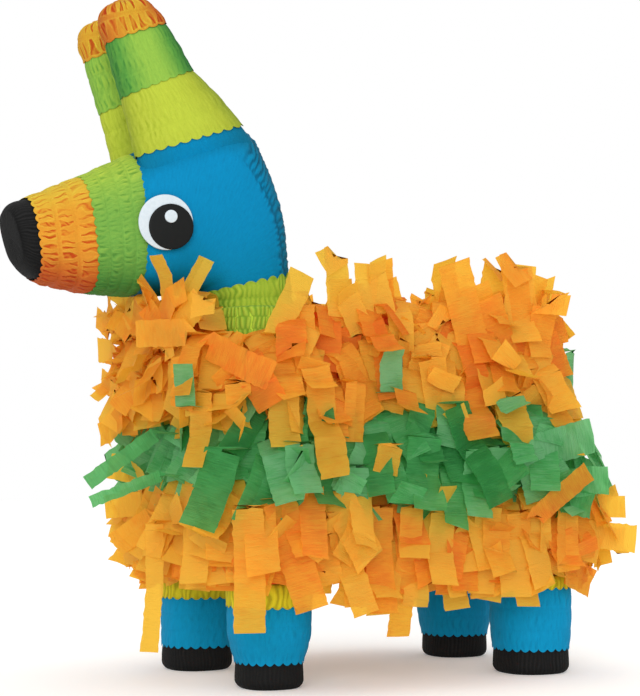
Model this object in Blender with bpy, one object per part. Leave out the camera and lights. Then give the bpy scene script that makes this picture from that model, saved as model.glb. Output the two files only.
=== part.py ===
"""A donkey pinata: a card body with papier-mache head halves, card legs and ears,
crepe paper wraps and fringes, a fill flap in the belly and a hanging ring on the back.

Run with blender --background --python part.py, or from Blender's text editor.
Units are metres, +Z is up, the nose points along -X, and the animal's left side is at -Y.
The origin is on the floor, under the middle of the whole object.
"""

import math

import bmesh
import bpy
from mathutils import Vector
from mathutils.bvhtree import BVHTree

MM = 0.001

# ---------------------------------------------------------------- driving dimensions
CARD = 2.5 * MM  # thickness of the body's card
SHELL = 2.0 * MM  # thickness of the papier-mache head and the ear and leg tubes
WRAP = 1.0 * MM  # thickness of a crepe paper wrap with its glue
COVER = 0.6 * MM  # thickness of the crepe paper glued over the card body
GAP = 0.3 * MM  # left between pieces that are glued together

CHEST_X, RUMP_X = -74.5 * MM, 159.5 * MM  # the ends of the card body
BODY_HALF_WIDTH = 79 * MM
BODY_CORNER = 30 * MM
BELLY_Z = 62 * MM
BACK_Z = 222 * MM
CORNER_STEPS = 5

HEAD_POINTS = 20  # points round a section of the head
HEAD_POWER = 2.7  # the superellipse power of a head section: 2 is an ellipse, more is boxier
NECK_SEAT_Z = BACK_Z + 2 * GAP + COVER  # the head rests on the back's paper cover
# Stations of the head, nose to neck: the point on the crown's line, the point on the
# throat's line, as x and z, and the half width between them. In millimetres.
HEAD_STATIONS = (
    ((-190.5, 278), (-190.5, 255), 13),
    ((-186.5, 284), (-187, 247.5), 18),
    ((-179.5, 287.5), (-179, 242.5), 21),
    ((-164, 294.5), (-160, 238.5), 25),
    ((-149.5, 301.5), (-142.5, 235.8), 29),
    ((-121, 316), (-117, 234.5), 34),
    ((-86, 335), (-98, 234.8), 38),
    ((-48, 343), (-88, 235.8), 39),
    ((-30, 322), (-82, 236.4), 39),
    ((-18, 289), (-77, 236.7), 39),
    ((-13.5, 250), (-73, 235.5), 38),
    ((-10, NECK_SEAT_Z / MM), (-70, NECK_SEAT_Z / MM), 37),
)
NOSE_END, ORANGE_END, GREEN_END, BLUE_END, NECK_END = 2, 4, 5, 10, 11  # station numbers
WRAP_JOIN = 0.012  # the share of a station left open between two wraps
HEAD_GAP = 0.5 * MM  # between the head's shell and its wraps

EAR_POINTS = 16
EAR_POWER = 2.6
EAR_Y = 25.5 * MM
EAR_HALF_THICKNESS = 12 * MM
# Stations of an ear, root to tip: its front edge and its rear edge, as x and z, and the
# share of the full thickness. In millimetres.
EAR_STATIONS = (
    ((-112, 299), (-38, 325), 1.0),
    ((-116.5, 315.5), (-50, 339.5), 1.0),
    ((-121, 333), (-67, 357), 1.0),
    ((-126, 350.5), (-83, 370.5), 1.0),
    ((-131, 366), (-91, 383), 1.0),
    ((-136, 382.5), (-101, 397), 1.0),
    ((-140, 394), (-107, 405), 0.95),
    ((-138.5, 401.5), (-113, 408.6), 0.8),
    ((-133, 406), (-120, 409.6), 0.45),
)
EAR_BLUE_END, EAR_LIME_END, EAR_GREEN_END, EAR_TIP = 1, 3, 5, 8  # station numbers

EYE_AT = (-103 * MM, 275 * MM)  # x and z of the eye's middle, on the cheek
PUPIL_AT = (-100 * MM, 272.4 * MM)
GLINT_AT = (-100.5 * MM, 278.4 * MM)
EYE_RADIUS, PUPIL_RADIUS, GLINT_RADIUS = 16.4 * MM, 13.6 * MM, 3.8 * MM
EYE_RISE = 1.6 * MM  # the white stands this far out of the cheek's paper
DISC_CARD = 0.8 * MM  # the pupil's and the glint's card

LEG_POINTS = 16
LEG_POWER = 2.4
LEG_SWELL_Z = 26 * MM  # the legs widen up to here and are straight above
HOOF_TOP_Z = 14 * MM
HOOF_ROUND = 7 * MM
BLUE_TOP_Z = 50 * MM
LEGS = (  # name, place from nose to tail, place across, radius at the sole, radius above
    ("front_left", -43.5 * MM, -54.5 * MM, 21.5 * MM, 28 * MM),
    ("front_right", -45.5 * MM, 55.5 * MM, 19.5 * MM, 23.5 * MM),
    ("rear_left", 140 * MM, -54.5 * MM, 23 * MM, 25 * MM),
    ("rear_right", 145 * MM, 52 * MM, 22 * MM, 23 * MM),
)

DOOR_X0, DOOR_X1 = 26 * MM, 70 * MM  # the fill flap folds down along its front edge
DOOR_HALF_WIDTH = 32 * MM
DOOR_GAP = 0.5 * MM
TAB_HALF_WIDTH = 11 * MM
TAB_LENGTH = 16 * MM

RING_X = 50 * MM
RING_WIRE = 1.25 * MM
RING_HALF_WIDTH = 16 * MM
RING_LENGTH = 28 * MM
RING_CORNER = 4 * MM
STRAP_THICK = 0.8 * MM
STRAP_HALF_WIDTH = 7 * MM
STRAP_FOOT = 14 * MM
RING_PLAY = 0.4 * MM
RING_Z = NECK_SEAT_Z + RING_WIRE  # the ring's bar just clears the back's cover
DISC_RADIUS = 20 * MM
DISC_THICK = 1.5 * MM

# Fringe rows on the body's side, top to bottom: name, colour, top and bottom heights, and
# how far the row stands out from the card at the chest, the sides and the rump, first at
# its top and then at its bottom. In millimetres.
FRINGE_ROWS = (
    ("fringe_orange_upper_1", "orange_fringe", 222, 197, (18, 12, 5), (30, 20, 8)),
    ("fringe_orange_upper_2", "orange_fringe", 197, 172, (30, 20, 8), (34, 25, 12)),
    ("fringe_green_1", "green_fringe", 172, 149, (24, 22, 14), (28, 26, 20)),
    ("fringe_green_2", "green_fringe", 149, 126, (27, 25, 18), (32, 29, 28)),
    ("fringe_orange_lower_1", "orange_fringe", 126, 104, (27, 26, 20), (32, 29, 28)),
    ("fringe_orange_lower_2", "orange_fringe", 104, 82, (27, 27, 24), (30, 29, 31)),
    ("fringe_orange_lower_3", "orange_fringe", 82, 52, (24, 25, 22), (26, 27, 24)),
)
FRINGE_CLEAR = 2 * GAP + COVER  # between a row and the card
SKIRT_CLEAR = 12 * MM  # between the lowest row's hem and the line of the card
BACK_FRINGE_HEIGHT = 22 * MM
BACK_FRINGE_WIDTH = 20 * MM
BACK_FRINGE_START_X = -2 * MM  # behind the neck

COLOURS = {  # sRGB, roughness
    "kraft_card": ((168, 128, 82), 0.9),
    "papier_mache": ((196, 178, 150), 0.9),
    "black_crepe": ((28, 29, 29), 0.85),
    "orange_crepe": ((222, 132, 38), 0.8),
    "green_crepe": ((120, 178, 80), 0.8),
    "blue_crepe": ((2, 138, 188), 0.8),
    "lime_crepe": ((192, 206, 66), 0.8),
    "yellow_crepe": ((220, 211, 44), 0.8),
    "orange_fringe": ((240, 150, 36), 0.75),
    "green_fringe": ((72, 150, 88), 0.75),
    "eye_white": ((226, 232, 240), 0.35),
    "eye_black": ((18, 19, 19), 0.35),
    "steel_wire": ((150, 152, 156), 0.3),
    "strap_tape": ((200, 184, 150), 0.8),
}


# ---------------------------------------------------------------- scene and materials
def empty_scene():
    for thing in list(bpy.data.objects):
        bpy.data.objects.remove(thing, do_unlink=True)
    for name in ("donkey_pinata", "cutters"):
        bpy.context.scene.collection.children.link(bpy.data.collections.new(name))


def linear(channel):
    value = channel / 255
    return value / 12.92 if value <= 0.04045 else ((value + 0.055) / 1.055) ** 2.4


def material(name):
    found = bpy.data.materials.get(name)
    if found:
        return found
    made = bpy.data.materials.new(name)
    made.use_nodes = True
    shader = made.node_tree.nodes["Principled BSDF"]
    colour, roughness = COLOURS[name]
    shader.inputs["Base Color"].default_value = (*map(linear, colour), 1)
    shader.inputs["Roughness"].default_value = roughness
    shader.inputs["Metallic"].default_value = 1.0 if name == "steel_wire" else 0.0
    return made


def add(name, data, colour, collection="donkey_pinata"):
    thing = bpy.data.objects.new(name, data)
    if colour:
        data.materials.append(material(colour))
    bpy.data.collections[collection].objects.link(thing)
    return thing


# ---------------------------------------------------------------- shape tools
def skin(name, loops, colour, closed=False, collection="donkey_pinata"):
    """A solid lofted through loops of equally many points. It is capped at both ends or,
    when closed, runs from the last loop back to the first as a ring does."""
    mesh = bmesh.new()
    rings = [[mesh.verts.new(point) for point in loop] for loop in loops]
    pairs = list(zip(rings, rings[1:]))
    if closed:
        pairs.append((rings[-1], rings[0]))
    for ring, following in pairs:
        for i in range(len(ring)):
            j = (i + 1) % len(ring)
            mesh.faces.new((ring[i], ring[j], following[j], following[i]))
    if not closed:
        mesh.faces.new(rings[0])
        mesh.faces.new(rings[-1])
    bmesh.ops.recalc_face_normals(mesh, faces=mesh.faces)
    data = bpy.data.meshes.new(name)
    mesh.to_mesh(data)
    mesh.free()
    data.shade_smooth()
    data.set_sharp_from_angle(angle=math.radians(40))
    return add(name, data, colour, collection)


def outline_curve(name, outlines):
    """A filled flat curve from one or more closed outlines; an inner one is a hole."""
    curve = bpy.data.curves.new(name, "CURVE")
    curve.dimensions = "2D"
    curve.fill_mode = "BOTH"
    for outline in outlines:
        spline = curve.splines.new("POLY")
        spline.points.add(len(outline) - 1)
        for point, (x, y) in zip(spline.points, outline):
            point.co = (x, y, 0, 1)
        spline.use_cyclic_u = True
    return curve


def plate(name, outlines, z0, z1, colour):
    """A flat board between two heights."""
    curve = outline_curve(name, outlines)
    curve.extrude = (z1 - z0) / 2
    board = add(name, curve, colour)
    board.location = (0, 0, (z0 + z1) / 2)
    return board


def cut(target, cutter):
    """Takes the cutter out of the target, and leaves the modifier on the object."""
    modifier = target.modifiers.new("cut_" + cutter.name, "BOOLEAN")
    modifier.operation = "DIFFERENCE"
    modifier.object = cutter
    modifier.solver = "EXACT"


def hide_cutter(cutter):
    cutter.hide_render = True
    cutter.display_type = "WIRE"


def between(low, high, share):
    return low + (high - low) * share


def signed_power(value, power):
    return math.copysign(abs(value) ** power, value)


# ---------------------------------------------------------------- the body's outline
def rounded_outline(chest, side, rump):
    """The body's rounded rectangle seen from above, moved outwards by these amounts."""
    radius = BODY_CORNER + side
    centre_y = BODY_HALF_WIDTH + side - radius
    front = CHEST_X - chest + radius
    back = RUMP_X + rump - radius
    points = []
    for quarter, (centre_x, sign_y) in enumerate(
        ((back, 1), (front, 1), (front, -1), (back, -1))
    ):
        for step in range(CORNER_STEPS + 1):
            angle = (quarter + step / CORNER_STEPS) * math.pi / 2
            points.append(
                (
                    centre_x + radius * math.cos(angle),
                    sign_y * centre_y + radius * math.sin(angle),
                )
            )
    return points


def body_outline(offset=0.0):
    return rounded_outline(offset, offset, offset)


def half_outline(offset, side):
    """The half of the outline at one side, from the rump round to the chest."""
    middle = (CHEST_X + RUMP_X) / 2
    points = [(x, y) for x, y in body_outline(offset) if y * side > 0]
    points.sort(key=lambda point: math.atan2(abs(point[1]), point[0] - middle))
    seam = GAP / 2 * side
    return [(RUMP_X + offset, seam), *points, (CHEST_X - offset, seam)]


def rectangle(x0, x1, half_width):
    return [(x0, -half_width), (x1, -half_width), (x1, half_width), (x0, half_width)]


# ---------------------------------------------------------------- body
def make_body():
    for name, side in (("side_wall_left", -1), ("side_wall_right", 1)):
        outer = half_outline(0, side)
        inner = half_outline(-CARD, side)
        plate(name, [outer + inner[::-1]], BELLY_Z, BACK_Z, "kraft_card")

    lid = body_outline(-CARD - GAP)
    slot_half_length = RING_WIRE + RING_PLAY + STRAP_THICK + GAP
    slot = rectangle(
        RING_X - slot_half_length, RING_X + slot_half_length, STRAP_HALF_WIDTH + GAP
    )
    plate("back_board", [lid, slot], BACK_Z - CARD, BACK_Z, "kraft_card")
    plate("back_cover", [body_outline(), slot], BACK_Z + GAP, NECK_SEAT_Z - GAP, "lime_crepe")
    cover = [body_outline(GAP + COVER), body_outline(GAP)]
    plate("side_cover", cover, BELLY_Z, BACK_Z, "lime_crepe")

    opening = rectangle(
        DOOR_X0 - DOOR_GAP / 2, DOOR_X1 + DOOR_GAP / 2, DOOR_HALF_WIDTH + DOOR_GAP
    )
    plate("belly_board", [lid, opening], BELLY_Z, BELLY_Z + CARD, "kraft_card")


def make_fill_door():
    """A flap cut out of the belly board, which folds down along its front edge. A paper
    pull tab under its free edge keeps it from being pushed in."""
    flap = rectangle(DOOR_X0 + DOOR_GAP / 2, DOOR_X1 - DOOR_GAP / 2, DOOR_HALF_WIDTH)
    plate("fill_door", [flap], BELLY_Z, BELLY_Z + CARD, "kraft_card")
    tab = rectangle(DOOR_X1 - TAB_LENGTH / 2, DOOR_X1 + TAB_LENGTH / 2, TAB_HALF_WIDTH)
    tab_top = BELLY_Z - GAP
    plate("door_pull_tab", [tab], tab_top - STRAP_THICK, tab_top, "orange_crepe")


# ---------------------------------------------------------------- hanging ring
def ring_path():
    """A D shape seen from above: a straight bar across the animal and a round bow."""
    corner = RING_CORNER
    bow_x = RING_LENGTH - RING_HALF_WIDTH
    points = []
    for step in range(5):
        angle = math.pi + step / 4 * math.pi / 2
        points.append(
            (corner + corner * math.cos(angle), -RING_HALF_WIDTH + corner + corner * math.sin(angle))
        )
    for step in range(13):
        angle = -math.pi / 2 + step / 12 * math.pi
        points.append(
            (bow_x + RING_HALF_WIDTH * math.cos(angle), RING_HALF_WIDTH * math.sin(angle))
        )
    mirrored = [(x, -y) for x, y in points[:5]]
    return points + mirrored[::-1]


def make_hanger():
    wire = bpy.data.curves.new("hanging_ring", "CURVE")
    wire.dimensions = "3D"
    wire.bevel_depth = RING_WIRE
    wire.bevel_resolution = 2
    spline = wire.splines.new("POLY")
    path = ring_path()
    spline.points.add(len(path) - 1)
    for point, (x, y) in zip(spline.points, path):
        point.co = (x, y, 0, 1)
    spline.use_cyclic_u = True
    ring = add("hanging_ring", wire, "steel_wire")
    pivot = bpy.data.objects.new("ring_pivot", None)
    bpy.data.collections["donkey_pinata"].objects.link(pivot)
    pivot.location = (RING_X, 0, RING_Z)
    ring.parent = pivot

    inner = RING_WIRE + RING_PLAY
    outer = inner + STRAP_THICK
    foot_top = BACK_Z - CARD - GAP - RING_Z
    foot_bottom = foot_top - STRAP_THICK
    arch = [math.pi * step / 8 for step in range(9)]
    outline = [(STRAP_FOOT, foot_bottom), (STRAP_FOOT, foot_top), (outer, foot_top)]
    outline += [(outer * math.cos(a), outer * math.sin(a)) for a in arch]
    outline += [(-outer, foot_top), (-STRAP_FOOT, foot_top), (-STRAP_FOOT, foot_bottom)]
    outline += [(-inner, foot_bottom)]
    outline += [(inner * math.cos(a), inner * math.sin(a)) for a in reversed(arch)]
    outline += [(inner, foot_bottom)]
    curve = outline_curve("hanger_strap", [outline])
    curve.extrude = STRAP_HALF_WIDTH
    strap = add("hanger_strap", curve, "strap_tape")
    strap.rotation_euler = (math.pi / 2, 0, 0)
    strap.location = (RING_X, 0, RING_Z)

    disc_top = BACK_Z - CARD - 2 * GAP - STRAP_THICK
    bpy.ops.mesh.primitive_cylinder_add(
        vertices=24,
        radius=DISC_RADIUS,
        depth=DISC_THICK,
        location=(RING_X, 0, disc_top - DISC_THICK / 2),
    )
    keep_primitive("hanger_disc", "kraft_card")


def keep_primitive(name, colour):
    """Names the primitive that was just added, colours it and files it with the parts."""
    thing = bpy.context.active_object
    thing.name = name
    thing.data.name = name
    thing.data.materials.append(material(colour))
    for collection in list(thing.users_collection):
        collection.objects.unlink(thing)
    bpy.data.collections["donkey_pinata"].objects.link(thing)
    return thing


# ---------------------------------------------------------------- head
def head_station(number):
    """Crown point, throat point and half width at a station number, which may be a part
    of the way between two stations."""
    low = min(int(number), len(HEAD_STATIONS) - 2)
    share = number - low
    first, second = HEAD_STATIONS[low], HEAD_STATIONS[low + 1]
    crown, throat = (
        Vector(between(a, b, share) * MM for a, b in zip(first[k], second[k]))
        for k in range(2)
    )
    return crown, throat, between(first[2], second[2], share) * MM


def head_loop(number, offset=0.0):
    """A closed section of the head, moved outwards by offset."""
    crown, throat, half_width = head_station(number)
    middle = (crown + throat) / 2
    reach = (crown - throat) / 2
    reach *= 1 + offset / reach.length
    points = []
    for i in range(HEAD_POINTS):
        angle = 2 * math.pi * i / HEAD_POINTS
        along = signed_power(math.cos(angle), 2 / HEAD_POWER)
        across = signed_power(math.sin(angle), 2 / HEAD_POWER)
        x, z = middle + reach * along
        points.append((x, (half_width + offset) * across, z))
    return points


def head_half_loop(number, side):
    """A C shaped section of one half shell: its outside, then back along its inside."""
    half = HEAD_POINTS // 2
    outside = head_loop(number)
    inside = head_loop(number, -SHELL)
    order = [i % HEAD_POINTS for i in range(half + 1)]
    if side < 0:
        order = [-i % HEAD_POINTS for i in range(half + 1)]
    path = [outside[i] for i in order] + [inside[i] for i in reversed(order)]
    return [(x, side * max(abs(y), GAP / 2), z) for x, y, z in path]


def head_numbers(start, end):
    """The stations from start to end, with both ends."""
    inner = [k for k in range(len(HEAD_STATIONS)) if start + 1e-6 < k < end - 1e-6]
    return [start, *inner, end]


def level_base(loop):
    """Keeps the last section on the level of the back's cover."""
    return [(x, y, NECK_SEAT_Z) for x, y, _ in loop]


def head_wrap(name, start, end, colour):
    """A band of crepe paper round the head."""
    numbers = head_numbers(start, end)
    inside = [head_loop(number, HEAD_GAP) for number in numbers]
    outside = [head_loop(number, HEAD_GAP + WRAP) for number in numbers]
    if end == NECK_END:
        inside[-1], outside[-1] = level_base(inside[-1]), level_base(outside[-1])
    return skin(name, inside + outside[::-1], colour, closed=True)


def make_head():
    for name, side in (("head_shell_left", -1), ("head_shell_right", 1)):
        loops = [head_half_loop(number, side) for number in head_numbers(1.2, NECK_END)]
        skin(name, loops, "papier_mache")

    outside = [head_loop(n, HEAD_GAP + WRAP) for n in (0, 1, NOSE_END)]
    inside = [head_loop(n, HEAD_GAP) for n in (NOSE_END, 1)]
    skin("nose_cap", outside + inside, "black_crepe")
    head_wrap("muzzle_wrap_orange", NOSE_END + WRAP_JOIN, ORANGE_END, "orange_crepe")
    head_wrap("muzzle_wrap_green", ORANGE_END + WRAP_JOIN, GREEN_END, "green_crepe")
    head_wrap("head_wrap_blue", GREEN_END + WRAP_JOIN, BLUE_END, "blue_crepe")
    head_wrap("neck_wrap_lime", BLUE_END + WRAP_JOIN, NECK_END, "lime_crepe")


def make_head_cutter():
    """The head's whole outer form with a gap round it, for what is glued onto it."""
    loops = [head_loop(n, HEAD_GAP + WRAP + GAP) for n in range(len(HEAD_STATIONS))]
    cutter = skin("head_form", loops, None, collection="cutters")
    hide_cutter(cutter)
    return cutter


# ---------------------------------------------------------------- ears
def ear_loop(number, side, offset=0.0):
    """A closed section of an ear, flat and round edged."""
    low = min(int(number), len(EAR_STATIONS) - 2)
    share = number - low
    first, second = EAR_STATIONS[low], EAR_STATIONS[low + 1]
    front, rear = (
        Vector(between(a, b, share) * MM for a, b in zip(first[k], second[k]))
        for k in range(2)
    )
    half_thickness = between(first[2], second[2], share) * EAR_HALF_THICKNESS + offset
    middle = (front + rear) / 2
    reach = (rear - front) / 2
    reach *= 1 + offset / reach.length
    points = []
    for i in range(EAR_POINTS):
        angle = 2 * math.pi * i / EAR_POINTS
        along = signed_power(math.cos(angle), 2 / EAR_POWER)
        across = signed_power(math.sin(angle), 2 / EAR_POWER)
        x, z = middle + reach * along
        points.append((x, side * EAR_Y + half_thickness * across, z))
    return points


def lifted(loop, rise):
    return [(x, y, z + rise) for x, y, z in loop]


def make_ear(name, side, head_form):
    """A card tube closed at its tip and open where it is glued onto the head, under four
    crepe paper bands."""
    outside = [ear_loop(n, side, -GAP - WRAP) for n in range(EAR_TIP, -1, -1)]
    inside = [ear_loop(n, side, -GAP - WRAP - SHELL) for n in range(EAR_TIP)]
    inside[-1] = lifted(inside[-1], -GAP)
    outside[0] = lifted(outside[0], -WRAP - GAP)
    core = skin("ear_core_" + name, outside + inside, "kraft_card")
    cut(core, head_form)

    for colour, start, end in (
        ("blue", 0, EAR_BLUE_END),
        ("lime", EAR_BLUE_END + WRAP_JOIN, EAR_LIME_END),
        ("green", EAR_LIME_END + WRAP_JOIN, EAR_GREEN_END),
    ):
        numbers = [start, *range(int(start) + 1, end), end]
        outer = [ear_loop(n, side) for n in numbers]
        inner = [ear_loop(n, side, -WRAP) for n in numbers]
        band = skin(
            f"ear_wrap_{colour}_{name}", inner + outer[::-1], colour + "_crepe", closed=True
        )
        if start < EAR_LIME_END:
            cut(band, head_form)

    numbers = [EAR_GREEN_END + WRAP_JOIN, 6, 7]
    outer = [ear_loop(n, side) for n in (EAR_TIP, *numbers[::-1])]
    inner = [ear_loop(n, side, -WRAP) for n in numbers]
    inner.append(lifted(ear_loop(EAR_TIP, side, -WRAP), -WRAP))
    skin("ear_wrap_orange_" + name, outer + inner, "orange_crepe")


# ---------------------------------------------------------------- eyes
def make_eye(name, side, head_form, surface):
    """Three discs on the cheek: the white, the pupil and its glint."""
    start = Vector((EYE_AT[0], side * 0.2, EYE_AT[1]))
    seat, normal, _, _ = surface.ray_cast(start, Vector((0, -side, 0)))
    turn = normal.to_track_quat("Z", "Y")
    white_top = EYE_RISE
    pupil_low = white_top + GAP
    glint_low = pupil_low + DISC_CARD + GAP
    discs = (
        ("eye_white_", EYE_AT, EYE_RADIUS, white_top - 8 * MM, white_top, "eye_white"),
        ("eye_pupil_", PUPIL_AT, PUPIL_RADIUS, pupil_low, pupil_low + DISC_CARD, "eye_black"),
        ("eye_glint_", GLINT_AT, GLINT_RADIUS, glint_low, glint_low + DISC_CARD, "eye_white"),
    )
    for label, (x, z), radius, low, high, colour in discs:
        # The place is slid along the disc's own plane, from the eye's middle.
        aside = Vector((x - EYE_AT[0], 0, z - EYE_AT[1]))
        aside.y = -(aside.x * normal.x + aside.z * normal.z) / normal.y
        bpy.ops.mesh.primitive_cylinder_add(
            vertices=28 if radius > GLINT_RADIUS else 14, radius=radius, depth=high - low
        )
        disc = keep_primitive(label + name, colour)
        disc.rotation_mode = "QUATERNION"
        disc.rotation_quaternion = turn
        disc.location = seat + aside + normal * (low + high) / 2
        if label == "eye_white_":
            cut(disc, head_form)


# ---------------------------------------------------------------- legs
def leg_loop(x, y, radius, z):
    points = []
    for i in range(LEG_POINTS):
        angle = 2 * math.pi * i / LEG_POINTS
        points.append(
            (
                x + radius * signed_power(math.cos(angle), 2 / LEG_POWER),
                y + radius * signed_power(math.sin(angle), 2 / LEG_POWER),
                z,
            )
        )
    return points


def make_leg(name, x, y, sole_radius, top_radius):
    """A card tube standing in a hoof cap, under a blue and a yellow wrap."""

    def loop(z, offset=0.0):
        radius = between(sole_radius, top_radius, min(z / LEG_SWELL_Z, 1))
        return leg_loop(x, y, radius + offset, z)

    def band(label, heights, inner, outer, colour):
        loops = [loop(z, inner) for z in heights]
        loops += [loop(z, outer) for z in reversed(heights)]
        skin(label + name, loops, colour, closed=True)

    top = BELLY_Z - GAP
    tube = -GAP - WRAP
    heights = (HOOF_ROUND + GAP, LEG_SWELL_Z, top)
    band("leg_tube_", heights, tube - SHELL, tube, "kraft_card")
    heights = (HOOF_TOP_Z + GAP, LEG_SWELL_Z, BLUE_TOP_Z)
    band("leg_wrap_blue_", heights, -WRAP, 0, "blue_crepe")
    band("leg_wrap_yellow_", (BLUE_TOP_Z + GAP, top), -WRAP, 0, "yellow_crepe")
    rounding = [
        (HOOF_ROUND * (1 - math.cos(angle)), HOOF_ROUND * (1 - math.sin(angle)))
        for angle in (0, math.pi / 6, math.pi / 3)
    ]
    hoof = [leg_loop(x, y, sole_radius - inset, z) for z, inset in rounding]
    hoof += [loop(HOOF_ROUND), loop(HOOF_TOP_Z), loop(HOOF_TOP_Z, -WRAP), loop(HOOF_ROUND, -WRAP)]
    skin("hoof_" + name, hoof, "black_crepe")


# ---------------------------------------------------------------- fringes
def make_fringe_rows():
    """Each row's simple outer form: a ring round the body that flares downwards. The
    lowest row hangs below the belly, and there stands clear of the legs."""
    for name, colour, top, bottom, out_top, out_bottom in FRINGE_ROWS:
        top_z = top * MM - GAP
        bottom_z = bottom * MM
        loops = [
            at_height(body_outline(FRINGE_CLEAR), top_z),
            at_height(rounded_outline(*(out * MM for out in out_top)), top_z),
            at_height(rounded_outline(*(out * MM for out in out_bottom)), bottom_z),
        ]
        if bottom_z < BELLY_Z:
            loops.append(at_height(body_outline(SKIRT_CLEAR), bottom_z))
            loops.append(at_height(body_outline(SKIRT_CLEAR), BELLY_Z))
            loops.append(at_height(body_outline(FRINGE_CLEAR), BELLY_Z + SKIRT_CLEAR / 2))
        else:
            loops.append(at_height(body_outline(FRINGE_CLEAR), bottom_z))
        skin(name, loops, colour, closed=True)


def at_height(outline, z):
    return [(x, y, z) for x, y in outline]


def behind_neck(offset):
    """The body's outline from one side of the neck round the rump to the other."""
    middle = (CHEST_X + RUMP_X) / 2
    points = [(x, y) for x, y in body_outline(offset) if x > BACK_FRINGE_START_X]
    points.sort(key=lambda point: math.atan2(point[1], point[0] - middle))
    edge = BODY_HALF_WIDTH + offset
    return [(BACK_FRINGE_START_X, -edge), *points, (BACK_FRINGE_START_X, edge)]


def make_back_fringes():
    """Two horseshoes of fringe on the back, behind the neck."""
    floor = NECK_SEAT_Z
    for number, name in enumerate(("fringe_back_rim", "fringe_back_inner")):
        outer = behind_neck(-number * (BACK_FRINGE_WIDTH + 2 * GAP))
        inner = behind_neck(-number * (BACK_FRINGE_WIDTH + 2 * GAP) - BACK_FRINGE_WIDTH)
        plate(name, [outer + inner[::-1]], floor, floor + BACK_FRINGE_HEIGHT, "orange_fringe")


# ---------------------------------------------------------------- assembly
def make_all():
    empty_scene()
    make_body()
    make_fill_door()
    make_hanger()
    make_head()
    head_form = make_head_cutter()
    surface = BVHTree.FromPolygons(
        [vertex.co for vertex in head_form.data.vertices],
        [tuple(face.vertices) for face in head_form.data.polygons],
    )
    for name, side in (("left", -1), ("right", 1)):
        make_ear(name, side, head_form)
        make_eye(name, side, head_form, surface)
    for name, *leg in LEGS:
        make_leg(name, *leg)
    make_fringe_rows()
    make_back_fringes()
    bpy.context.view_layer.update()


make_all()
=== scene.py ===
"""Donkey pinata: crepe wraps, scalloped edges and cut-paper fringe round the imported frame."""

import math

import bpy
import numpy as np
from mathutils import Matrix, Vector


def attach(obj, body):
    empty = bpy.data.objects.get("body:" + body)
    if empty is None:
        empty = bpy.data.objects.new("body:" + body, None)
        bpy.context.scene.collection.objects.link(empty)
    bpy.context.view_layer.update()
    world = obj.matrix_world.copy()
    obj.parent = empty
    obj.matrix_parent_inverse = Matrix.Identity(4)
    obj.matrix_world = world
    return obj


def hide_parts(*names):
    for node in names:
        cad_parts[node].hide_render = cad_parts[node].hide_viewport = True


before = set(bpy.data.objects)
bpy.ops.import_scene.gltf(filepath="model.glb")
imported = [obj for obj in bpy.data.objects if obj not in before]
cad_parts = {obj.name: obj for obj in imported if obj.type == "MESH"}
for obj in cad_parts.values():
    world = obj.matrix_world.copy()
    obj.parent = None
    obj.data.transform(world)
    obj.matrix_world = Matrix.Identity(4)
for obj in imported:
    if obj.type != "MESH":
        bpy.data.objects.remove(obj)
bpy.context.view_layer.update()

MM = 0.001
BODY = "pinata_body"
UP = Vector((0, 0, 1))


# ---- materials
def colour(code):
    """The linear colour of an sRGB hex code."""
    values = [int(code[i : i + 2], 16) / 255 for i in (0, 2, 4)]
    return (*(v / 12.92 if v <= 0.04045 else ((v + 0.055) / 1.055) ** 2.4 for v in values), 1.0)


class Recipe:
    """A material's node tree, built up by short calls."""

    def __init__(self, name):
        self.material = bpy.data.materials.new(name)
        self.material.use_nodes = True
        self.tree = self.material.node_tree
        self.tree.nodes.clear()
        self.place = self.add("TexCoord").outputs["Object"]

    def add(self, kind, inputs=None, **settings):
        node = self.tree.nodes.new("ShaderNode" + kind)
        for key, value in settings.items():
            setattr(node, key, value)
        for key, value in (inputs or {}).items():
            if isinstance(value, bpy.types.NodeSocket):
                self.tree.links.new(value, node.inputs[key])
            else:
                node.inputs[key].default_value = value
        return node

    def attribute(self, name, output="Fac"):
        return self.add("Attribute", attribute_name=name).outputs[output]

    def maths(self, operation, *values):
        return self.add("Math", dict(enumerate(values)), operation=operation).outputs[0]

    def plus(self, base, factor, value, about=0.0):
        """base + factor * (value - about)."""
        if about:
            value = self.maths("SUBTRACT", value, about)
        return self.maths("MULTIPLY_ADD", value, factor, base)

    def stretch(self, vector, scale):
        return self.add("Mapping", {"Vector": vector, "Scale": scale}).outputs[0]

    def noise(self, vector, scale, detail=3.0, roughness=0.55):
        inputs = {"Vector": vector, "Scale": scale, "Detail": detail, "Roughness": roughness}
        return self.add("TexNoise", inputs).outputs["Fac"]

    def mix(self, share, a, b, blend="MIX"):
        node = self.add("Mix", {0: share, 6: a, 7: b}, data_type="RGBA", blend_type=blend)
        return node.outputs[2]

    def ramp(self, share, *stops):
        node = self.add("ValToRGB", {"Fac": share})
        elements = node.color_ramp.elements
        while len(elements) < len(stops):
            elements.new(0.5)
        for element, (position, value) in zip(elements, stops):
            element.position = position
            element.color = value
        return node.outputs["Color"]

    def bump(self, height, strength, distance):
        inputs = {"Height": height, "Strength": strength, "Distance": distance}
        return self.add("Bump", inputs).outputs["Normal"]

    def finish(self, shader):
        self.add("OutputMaterial", {"Surface": shader})
        return self.material

    def paper(self, base, normal, roughness=0.72, gloss=0.08):
        inputs = {"Base Color": base, "Roughness": roughness, "Normal": normal,
                  "Specular IOR Level": gloss}
        return self.add("BsdfPrincipled", inputs).outputs[0]


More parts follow.
